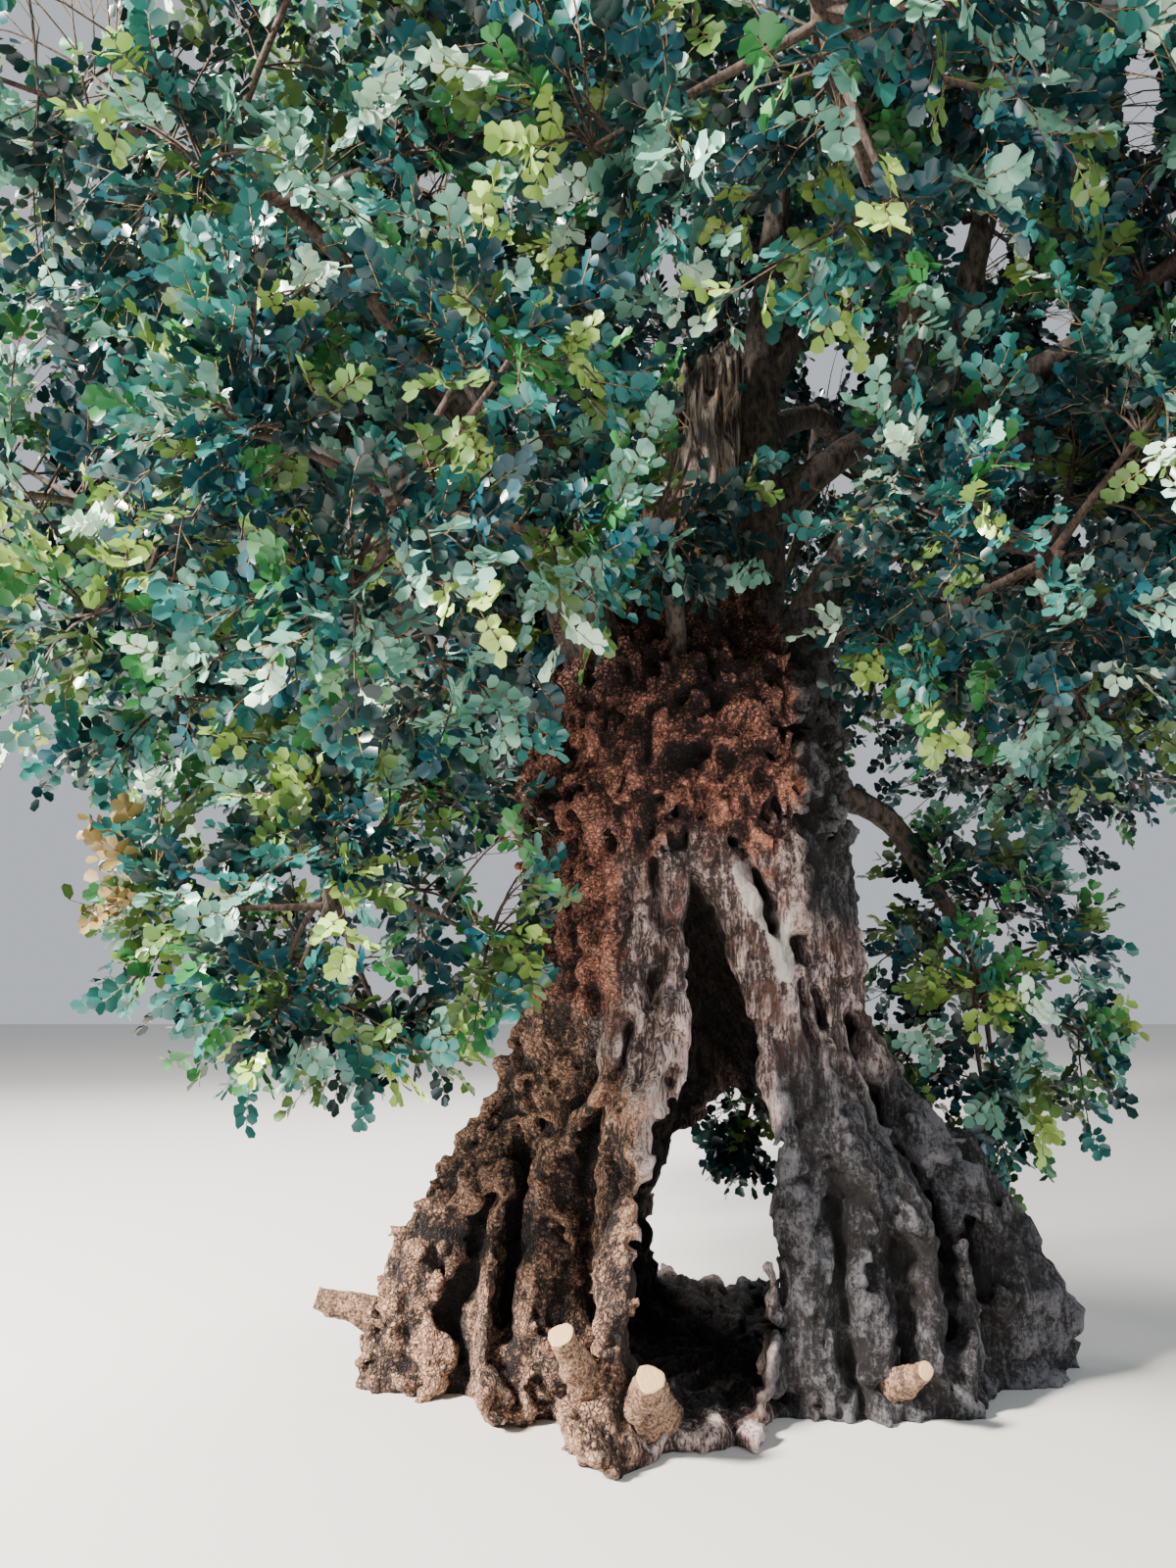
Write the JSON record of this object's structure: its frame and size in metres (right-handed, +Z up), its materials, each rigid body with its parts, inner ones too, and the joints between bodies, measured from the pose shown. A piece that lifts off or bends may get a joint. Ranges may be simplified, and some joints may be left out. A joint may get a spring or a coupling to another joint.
{
  "type": "carob tree",
  "caption": "Old evergreen tree: a buttressed, hollow trunk open from front to back, a dead leader, and live boughs that fork and carry a broad leafy crown.",
  "frame": {"origin": "in the flat cut under the trunk at ground level, below the middle of the hollow", "axes": "+Z up the trunk, -Y the way the mouth of the hollow faces, +X to the right of someone looking into it"},
  "size_m": [6.5568, 5.3758, 6.1567],
  "materials": {
    "bark": "rough, ridged grey-brown bark with red-brown rotten wood round the hollow",
    "dead_wood": "bare weathered wood, split along the grain",
    "foliage": "leathery, half-gloss blue-green leaves on red-brown stalks"
  },
  "bodies": {
    "root": {"bough_behind_hollow": "bark", "bough_front_left": "bark", "bough_front_right": "bark", "bough_inner": "bark", "bough_low_left": "bark", "bough_low_right": "bark", "bough_middle_1": "bark", "bough_middle_2": "bark", "bough_middle_3": "bark", "bough_middle_4": "bark", "bough_middle_5": "bark", "bough_middle_6": "bark", "bough_middle_7": "bark", "bough_over_fork": "bark", "bough_skirt_1": "bark", "bough_skirt_2": "bark", "bough_skirt_3": "bark", "bough_skirt_4": "bark", "bough_skirt_5": "bark", "bough_skirt_6": "bark", "bough_skirt_7": "bark", "bough_top": "bark", "bough_upper_1": "bark", "bough_upper_2": "bark", "bough_upper_3": "bark", "bough_upper_4": "bark", "bough_upper_5": "bark", "dead_leader": "dead_wood", "foliage_behind_hollow": "foliage", "foliage_front_left": "foliage", "foliage_front_right": "foliage", "foliage_inner": "foliage", "foliage_low_left": "foliage", "foliage_low_right": "foliage", "foliage_middle_1": "foliage", "foliage_middle_2": "foliage", "foliage_middle_3": "foliage", "foliage_middle_4": "foliage", "foliage_middle_5": "foliage", "foliage_middle_6": "foliage", "foliage_middle_7": "foliage", "foliage_over_fork": "foliage", "foliage_skirt_1": "foliage", "foliage_skirt_2": "foliage", "foliage_skirt_3": "foliage", "foliage_skirt_4": "foliage", "foliage_skirt_5": "foliage", "foliage_skirt_6": "foliage", "foliage_skirt_7": "foliage", "foliage_top": "foliage", "foliage_upper_1": "foliage", "foliage_upper_2": "foliage", "foliage_upper_3": "foliage", "foliage_upper_4": "foliage", "foliage_upper_5": "foliage", "sucker_1": "bark", "sucker_2": "bark", "sucker_3": "bark", "sucker_4": "bark", "trunk": "bark"}
  },
  "joints": []
}
